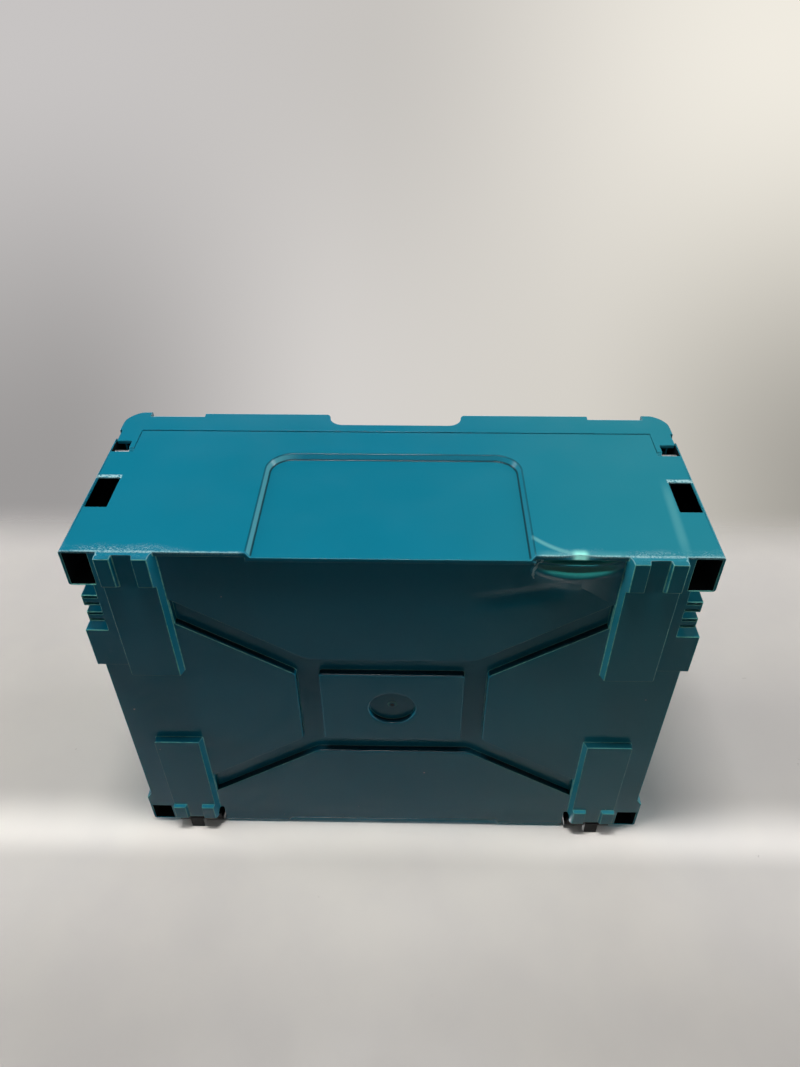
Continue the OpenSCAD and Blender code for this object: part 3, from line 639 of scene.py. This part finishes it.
def row_tree(name, mat):
    """Repeats a bar in a row: count, place of the first copy, step from one copy to the next, and the bar."""
    tree = bpy.data.node_groups.new(name, "GeometryNodeTree")
    face = tree.interface
    face.new_socket("Geometry", in_out="OUTPUT", socket_type="NodeSocketGeometry")
    for label, kind in (("Count", "Int"), ("Start", "Vector"), ("Step", "Vector"), ("Bar", "Object")):
        face.new_socket(label, in_out="INPUT", socket_type="NodeSocket" + kind)
    given = add(tree, "NodeGroupInput")
    line = add(tree, "GeometryNodeMeshLine")
    bar = add(tree, "GeometryNodeObjectInfo")
    put = add(tree, "GeometryNodeInstanceOnPoints")
    real = add(tree, "GeometryNodeRealizeInstances")
    dress = add(tree, "GeometryNodeSetMaterial", Material=mat)
    out = add(tree, "NodeGroupOutput")
    for a, b in (
            (given.outputs["Count"], line.inputs["Count"]),
            (given.outputs["Start"], line.inputs["Start Location"]),
            (given.outputs["Step"], line.inputs["Offset"]),
            (given.outputs["Bar"], bar.inputs["Object"]),
            (line.outputs["Mesh"], put.inputs["Points"]),
            (bar.outputs["Geometry"], put.inputs["Instance"]),
            (put.outputs["Instances"], real.inputs["Geometry"]),
            (real.outputs["Geometry"], dress.inputs["Geometry"]),
            (dress.outputs["Geometry"], out.inputs["Geometry"])):
        tree.links.new(a, b)
    return tree


def repeat(name, bar, count, start, step, mat):
    """A plain mesh of count copies of bar, the first at start and each a step further."""
    obj = bpy.data.objects.new(name, bpy.data.meshes.new(name))
    bpy.context.scene.collection.objects.link(obj)
    mod = obj.modifiers.new("row", "NODES")
    mod.node_group = row_tree(name + "_row", mat)
    mod[socket_id(mod.node_group, "Count")] = count
    mod[socket_id(mod.node_group, "Start")] = start
    mod[socket_id(mod.node_group, "Step")] = step
    mod[socket_id(mod.node_group, "Bar")] = bar
    settle(obj)
    group = bpy.data.node_groups[name + "_row"]
    bpy.data.node_groups.remove(group)
    bpy.data.objects.remove(bar)
    paint(obj, mat)
    return obj


def ring_bar(half_y, half_z, round_r, tube, width):
    """A band that runs once round an oval bar lying along X."""
    bm = bmesh.new()
    path = []
    far_y, far_z = half_y - round_r, half_z - round_r
    corners = ((far_y, far_z), (-far_y, far_z), (-far_y, -far_z), (far_y, -far_z))
    for first, (cy, cz) in zip((0, 90, 180, 270), corners):
        for k in range(9):
            a = math.radians(first + k * 90 / 8)
            path.append((cy + round_r * math.cos(a), cz + round_r * math.sin(a), math.cos(a), math.sin(a)))
    rings = []
    for y, z, ny, nz in path:
        ring = []
        for k in range(7):
            a = math.pi * k / 6
            lift = tube * math.sin(a)
            ring.append(bm.verts.new((-width / 2 * math.cos(a), y + ny * lift, z + nz * lift)))
        rings.append(ring)
    for i in range(len(rings)):
        a, b = rings[i], rings[(i + 1) % len(rings)]
        for k in range(6):
            bm.faces.new((a[k], a[k + 1], b[k + 1], b[k]))
        bm.faces.new((a[6], a[0], b[0], b[6]))
    bmesh.ops.recalc_face_normals(bm, faces=bm.faces)
    return link("bar", bm)


def ridge_bar(length, width, height):
    """A half-round ridge lying along X, standing up along -Y."""
    bm = bmesh.new()
    ends = []
    for x in (-length / 2, length / 2):
        ends.append([bm.verts.new((x, -height * math.sin(math.pi * k / 8),
                                   width / 2 * math.cos(math.pi * k / 8))) for k in range(9)])
    a, b = ends
    for k in range(8):
        bm.faces.new((a[k], a[k + 1], b[k + 1], b[k]))
    bm.faces.new(a)
    bm.faces.new(b)
    bm.faces.new((a[8], a[0], b[0], b[8]))
    bmesh.ops.recalc_face_normals(bm, faces=bm.faces)
    return link("bar", bm)


# ---------------------------------------------------------------- pieces

# the body's material slots: plain, worn edge with painted edge highlight, and painted shade inside the
# hollows
EDGE_SLOT, HOLLOW_SHADE_SLOT = 1, 2


def within(place, limits):
    return all(low < value < high for value, (low, high) in zip(place, limits))


class CASE_OT_body(bpy.types.Operator):
    """Make the body shell with rounded edges, wear and a dent"""
    bl_idname = "toolcase.body"
    bl_label = "Body shell"

    def execute(self, context):
        def upright(a, b):
            return abs(a.x - b.x) < 1e-5 and abs(a.y - b.y) < 1e-5

        def block_corner(a, b):
            return upright(a, b) and max(a.z, b.z) < 0.0080 and 0.139 < abs(a.x) < 0.177

        def post_corner(a, b):
            return (upright(a, b) and abs(a.y - b.y) < 1e-5 and min(a.z, b.z) < 0.006
                    and abs(a.x) > 0.195 and REAR_Y - 0.030 < a.y < REAR_Y - 0.020)

        def panel_corner(a, b):
            return upright(a, b) and abs(a.x) < ARM_X and 0.007 < min(a.z, b.z) < 0.013 > max(a.z, b.z)

        def panel_edge(a, b):
            return (max(abs(a.z - PANEL_Z), abs(b.z - PANEL_Z)) < 1e-5 and max(abs(a.x), abs(b.x)) < ARM_X
                    and max(abs(a.y - MIDDLE_Y), abs(b.y - MIDDLE_Y)) < 0.125)

        def sink_point(bm):
            # the gate's point is only a low nub
            for v in bm.verts:
                if math.hypot(v.co.x, v.co.y - MIDDLE_Y) < 0.0035 and v.co.z < 0.009:
                    v.co.z = 0.0113

        obj = rounded("base_shell", "body_moulding", sizes().edge_round, edge_slot=EDGE_SLOT,
                      first=((block_corner, 0.0018), (post_corner, 0.0026), (panel_corner, 0.0022),
                             (panel_edge, 0.0010)), reshape=sink_point)
        dent(obj)
        paint(obj, material("case_polypropylene", case_plastic),
              material("case_worn_edge", lambda: case_plastic("case_worn_edge", True)),
              material("case_hollow_grime", hollow_painted_shade))
        # faces inside the hollows of the rear posts and the pockets of the front posts get the painted shade
        for poly in obj.data.polygons:
            c = poly.center
            if (within((abs(c.x), REAR_Y - c.y, c.z), POST_HOLLOW)
                    or within((abs(c.x), c.y - BASE_LO.y, c.z), FRONT_POCKET)):
                poly.material_index = HOLLOW_SHADE_SLOT
        smooth(obj)
        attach(obj, "base")
        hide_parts("base_shell")
        return {"FINISHED"}


class CASE_OT_lid(bpy.types.Operator):
    """Make the lid shell with rounded edges"""
    bl_idname = "toolcase.lid"
    bl_label = "Lid shell"

    def execute(self, context):
        obj = rounded("lid_shell", "lid_moulding", sizes().edge_round, edge_slot=EDGE_SLOT)
        paint(obj, material("case_polypropylene", case_plastic),
              material("case_worn_edge", lambda: case_plastic("case_worn_edge", True)))
        smooth(obj)
        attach(obj, "lid")
        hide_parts("lid_shell")
        return {"FINISHED"}


class CASE_OT_latches(bpy.types.Operator):
    """Make both latches with their finger ridges"""
    bl_idname = "toolcase.latches"
    bl_label = "Latches"

    def execute(self, context):
        black = material("black_nylon", black_nylon)
        count = sizes().latch_ridges
        for side in ("left", "right"):
            obj = rounded("latch_" + side, "latch_moulding_" + side, 0.00045)
            paint(obj, black)
            smooth(obj)
            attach(obj, side + "_latch")
            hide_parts("latch_" + side)
            low, high = (Vector(c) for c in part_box("latch_" + side))
            start = ((low.x + high.x) / 2, low.y + NOSE_REACH + SUNK, low.z + RIDGE_FIRST)
            bar = ridge_bar(high.x - low.x - 2 * RIDGE_MARGIN, RIDGE_W, RIDGE_H)
            ridges = repeat("latch_ridges_" + side, bar, count, start, (0, 0, RIDGE_PITCH), black)
            smooth(ridges)
            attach(ridges, side + "_latch")
        return {"FINISHED"}


class CASE_OT_handle(bpy.types.Operator):
    """Make the folding handle and its ribbed grip"""
    bl_idname = "toolcase.handle"
    bl_label = "Handle"

    def execute(self, context):
        frame_obj = rounded("carry_handle", "handle_moulding", 0.0008, 3)
        paint(frame_obj, material("black_nylon", black_nylon))
        smooth(frame_obj)
        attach(frame_obj, "handle")
        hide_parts("carry_handle")
        rubber = material("grip_elastomer", soft_rubber)
        paint(NODES["handle_grip"], rubber)
        low, high = (Vector(c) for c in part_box("handle_grip"))
        mid = (low + high) / 2
        half = (high - low) / 2
        count = sizes().grip_ribs
        pitch = (high.x - low.x - 2 * BAND_MARGIN) / (count - 1)
        bar = ring_bar(half.y, half.z, half.z - SUNK, BAND_RISE, BAND_W)
        ribs = repeat("grip_ribs", bar, count, (low.x + BAND_MARGIN, mid.y, mid.z), (pitch, 0, 0), rubber)
        smooth(ribs)
        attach(ribs, "handle")
        return {"FINISHED"}


class CASE_OT_pins(bpy.types.Operator):
    """Dress the steel pins of the hinges, the handle and the latches"""
    bl_idname = "toolcase.pins"
    bl_label = "Pins"

    def execute(self, context):
        steel = material("pin_steel", pin_steel)
        for name, obj in NODES.items():
            if "_pin_" in name:
                paint(obj, steel)
                for poly in obj.data.polygons:
                    poly.use_smooth = False
        return {"FINISHED"}


# ---------------------------------------------------------------- studio

def see_through(tree, seen, shader):
    """shader where seen is 1, and nothing at all where it is 0."""
    clear = add(tree, "ShaderNodeBsdfTransparent")
    both = add(tree, "ShaderNodeMixShader")
    tree.links.new(seen, both.inputs[0])
    tree.links.new(clear.outputs[0], both.inputs[1])
    tree.links.new(shader, both.inputs[2])
    finish_material(tree, both.outputs[0])


# pale honed stone, soft grey clouds and a few dark chips
def stone(name, for_all_rays, far_z=None):
    mat, tree = new_material(name)
    n = Nodes(tree)
    base = tuple(colours().floor) + (1.0,)
    warm = tuple(c * k for c, k in zip(colours().floor, (1.12, 1.12, 1.08))) + (1.0,)
    cloud = n.ramp(n.noise(3.2, 5.0, 0.6), 0.35, 0.68)
    colour = n.mix(cloud, base, warm)
    speck = n.ramp(n.noise(46.0, 4.0, 0.7), 0.70, 0.74)
    colour = n.mix(n.op("MULTIPLY", speck, 0.35), colour, srgb("#6d6966"))
    rough = n.ramp(n.noise(20.0, 3.0), 0.3, 0.7, 0.35, 0.5)
    path = add(tree, "ShaderNodeLightPath")
    # the light falls off slowly towards the viewer and fast behind the case
    fall = n.op("ADD", n.ramp(n.z, -0.16, -0.030, 0.79, 1.10), n.ramp(n.z, -0.030, -0.004, 0.0, 0.42))
    fall = n.op("SUBTRACT", fall, n.ramp(n.z, -0.004, 0.040, 0.0, 0.66))
    fall = n.op("ADD", fall, n.ramp(n.z, 0.06, 0.36, 0.0, 0.22))
    scaled = add(tree, "ShaderNodeVectorMath", operation="SCALE", i0=colour, Scale=fall)
    colour = scaled.outputs[0]
    dim = n.mix(0.84, colour, srgb("#101010"))
    colour = n.mix(path.outputs["Is Diffuse Ray"], colour, dim)
    # far out in front the floor is painted dark, a painted shadow of the viewer standing there
    colour = n.mix(n.ramp(n.z, -0.38, -0.18, 1.0, 0.0), colour, srgb("#1e1d1c"))
    shader = add(tree, "ShaderNodeBsdfPrincipled", (600, 0), Roughness=rough)
    tree.links.new(colour, shader.inputs["Base Color"])
    back = add(tree, "ShaderNodeNewGeometry").outputs["Backfacing"]
    seen = n.op("SUBTRACT", 1.0, back)
    if not for_all_rays:
        seen = n.op("MULTIPLY", seen, path.outputs["Is Camera Ray"])
    if far_z:
        seen = n.op("MULTIPLY", seen, n.ramp(n.z, far_z - 0.10, far_z, 1.0, 0.0))
    see_through(tree, seen, shader.outputs[0])
    return mat


def sheet_mesh(name, corners, mat):
    bm = bmesh.new()
    bm.faces.new([bm.verts.new(c) for c in corners])
    obj = link(name, bm)
    paint(obj, mat)
    return obj


def lamp(name, place, aim, size, watts, colour):
    data = bpy.data.lights.new(name, "AREA")
    data.shape = "RECTANGLE"
    data.size, data.size_y = size
    data.energy = watts
    data.color = colour
    obj = bpy.data.objects.new(name, data)
    obj.location = place
    obj.rotation_euler = (Vector(aim) - Vector(place)).to_track_quat("-Z", "Y").to_euler()
    bpy.context.scene.collection.objects.link(obj)


# the camera: focal length and sensor height in millimetres, place, and its own three axes
LENS, SENSOR = 27.51, 36
CAMERA_PLACE = (-0.01329, 0.46828, -0.35500)
CAMERA_AXES = (Vector((-0.99983, -0.00223, 0.01821)), Vector((0.01000, 0.76599, 0.64277)),
               Vector((-0.01538, 0.64285, -0.76584)))
# half width of the floors, how far the near one runs out, where it meets the far one, the far
# one's end, and how far the floor under the feet lies below them
FLOOR_HALF, NEAR_END, MEET_Z, FAR_END, FEET_GAP = 1.6, -1.2, -0.002, 0.44, 0.0002
# each lamp: name, place, aim, size, power and colour
WHITE, WARM = (1, 1, 1), (1.0, 0.985, 0.96)
LAMPS = (
    ("key", (0.10, 1.60, -0.05), (0, 0.1, 0.03), (0.40, 0.14), 19, WARM),
    ("top", (0.0, 0.1, 1.5), (0, 0, 0.1), (1.4, 1.4), 9, WHITE),
    ("front", (0.5, -1.5, 0.8), (0, 0, 0.08), (1.2, 1.0), 12, WHITE),
    ("fill", (0.0, 0.15, -1.9), (0, 0, 0), (1.2, 0.8), 0.9, WHITE),
    ("low_left", (-1.3, 0.20, -0.07), (0, 0, 0), (0.3, 0.12), 4.5, WHITE),
    ("low_right", (1.3, 0.20, -0.07), (0, 0, 0), (0.3, 0.12), 4.5, WHITE),
    ("left", (-1.45, 0.75, 0.26), (0, 0, 0.06), (0.7, 0.4), 7, WHITE),
    ("right", (1.45, 0.75, 0.26), (0, 0, 0.06), (0.7, 0.4), 7, WHITE))


def studio_camera(scene):
    data = bpy.data.cameras.new("studio_camera")
    data.sensor_fit = "VERTICAL"
    data.sensor_height = SENSOR
    data.lens = LENS
    cam = bpy.data.objects.new("studio_camera", data)
    turn = Matrix(CAMERA_AXES).transposed().to_4x4()
    cam.matrix_world = Matrix.Translation(CAMERA_PLACE) @ turn
    scene.collection.objects.link(cam)
    scene.camera = cam


def studio_floors():
    """The floor on which the case stands up on its front face, and the one under its feet."""
    w = FLOOR_HALF
    sheet_mesh("tall_floor_near", [(w, FLOOR_Y, NEAR_END), (-w, FLOOR_Y, NEAR_END),
                                   (-w, FLOOR_Y, MEET_Z), (w, FLOOR_Y, MEET_Z)],
               stone("floor_stone_near", True))
    sheet_mesh("tall_floor_far", [(w, FLOOR_Y, MEET_Z), (-w, FLOOR_Y, MEET_Z),
                                  (-w, FLOOR_Y, FAR_END), (w, FLOOR_Y, FAR_END)],
               stone("floor_stone_far", False, FAR_END))
    sheet_mesh("feet_floor", [(-w, -w, -FEET_GAP), (w, -w, -FEET_GAP), (w, w, -FEET_GAP), (-w, w, -FEET_GAP)],
               stone("floor_stone_feet", False))


def surroundings(scene):
    """A pale wall that is seen and mirrored, but gives hardly any light of its own."""
    world = bpy.data.worlds.new("surroundings")
    scene.world = world
    world.use_nodes = True
    tree = world.node_tree
    tree.nodes.clear()
    where = add(tree, "ShaderNodeTexCoord").outputs["Generated"]
    x, y, z = add(tree, "ShaderNodeSeparateXYZ", Vector=where).outputs

    def maths(kind, a, b, c=0.0):
        return add(tree, "ShaderNodeMath", operation=kind, i0=a, i1=b, i2=c).outputs[0]

    # the wall's light: brightest low in the middle, and high up on the right
    off = maths("ABSOLUTE", maths("ADD", x, 0.05), 0.0)
    low_light = slide(tree, off, 0.12, 0.46, 0.66, 0.33)
    high_light = slide(tree, x, -0.36, 0.06, 0.87, 0.57)
    up = slide(tree, y, -0.54, -0.14)
    level = maths("ADD", maths("MULTIPLY", low_light, maths("SUBTRACT", 1.0, up)),
                  maths("MULTIPLY", high_light, up))
    tint = blend(tree, slide(tree, x, -0.4, 0.4), (1.0, 0.955, 0.86, 1), (1.0, 0.965, 0.955, 1))
    lit_wall = add(tree, "ShaderNodeVectorMath", operation="SCALE", i0=tint, Scale=level).outputs[0]
    room = blend(tree, slide(tree, x, -0.5, 0.5), (0.66, 0.63, 0.57, 1), (0.46, 0.45, 0.445, 1))
    wall = blend(tree, slide(tree, y, -0.10, 0.06), lit_wall, room)
    # a darker ceiling, seen only far up and behind
    ceiling = maths("MULTIPLY", slide(tree, y, 0.15, 0.40, kind="LINEAR"),
                    slide(tree, z, 0.60, 0.72, kind="LINEAR"))
    high = maths("MULTIPLY_ADD", ceiling, -0.88, 1.0)
    path = add(tree, "ShaderNodeLightPath").outputs
    shown = maths("MAXIMUM", maths("MAXIMUM", path["Is Camera Ray"], path["Is Glossy Ray"]),
                  path["Is Transmission Ray"])
    dim = add(tree, "ShaderNodeBackground", Color=(1, 1, 1, 1), Strength=0.02)
    pale = add(tree, "ShaderNodeBackground", Color=wall, Strength=high)
    both = add(tree, "ShaderNodeMixShader", i0=shown, i1=dim.outputs[0], i2=pale.outputs[0])
    add(tree, "ShaderNodeOutputWorld", Surface=both.outputs[0])


class CASE_OT_stage(bpy.types.Operator):
    """Make the camera, the floors, the lamps and the pale surroundings"""
    bl_idname = "toolcase.stage"
    bl_label = "Studio"

    def execute(self, context):
        scene = context.scene
        scene.view_settings.view_transform = "Standard"
        studio_camera(scene)
        studio_floors()
        for each in LAMPS:
            lamp(*each)
        surroundings(scene)
        return {"FINISHED"}


class CASE_PT_panel(bpy.types.Panel):
    """The tool case's sizes, colours and pieces"""
    bl_label = "Tool Case"
    bl_idname = "CASE_PT_panel"
    bl_space_type = "VIEW_3D"
    bl_region_type = "UI"
    bl_category = "Tool Case"

    def draw(self, context):
        for group in (context.scene.case_sizes, context.scene.case_colours):
            for key in group.__annotations__:
                self.layout.prop(group, key)
        for op in PIECES:
            self.layout.operator(op.bl_idname)


PIECES = (CASE_OT_body, CASE_OT_lid, CASE_OT_latches, CASE_OT_handle, CASE_OT_pins, CASE_OT_stage)
CLASSES = (CaseSizes, CaseColours, *PIECES, CASE_PT_panel)


def register():
    for cls in CLASSES:
        bpy.utils.register_class(cls)
    bpy.types.Scene.case_sizes = PointerProperty(type=CaseSizes)
    bpy.types.Scene.case_colours = PointerProperty(type=CaseColours)


def unregister():
    del bpy.types.Scene.case_colours
    del bpy.types.Scene.case_sizes
    for cls in reversed(CLASSES):
        bpy.utils.unregister_class(cls)


def main():
    register()
    bpy.ops.toolcase.body()
    bpy.ops.toolcase.lid()
    bpy.ops.toolcase.latches()
    bpy.ops.toolcase.handle()
    bpy.ops.toolcase.pins()
    bpy.ops.toolcase.stage()


if __name__ == "__main__":
    main()
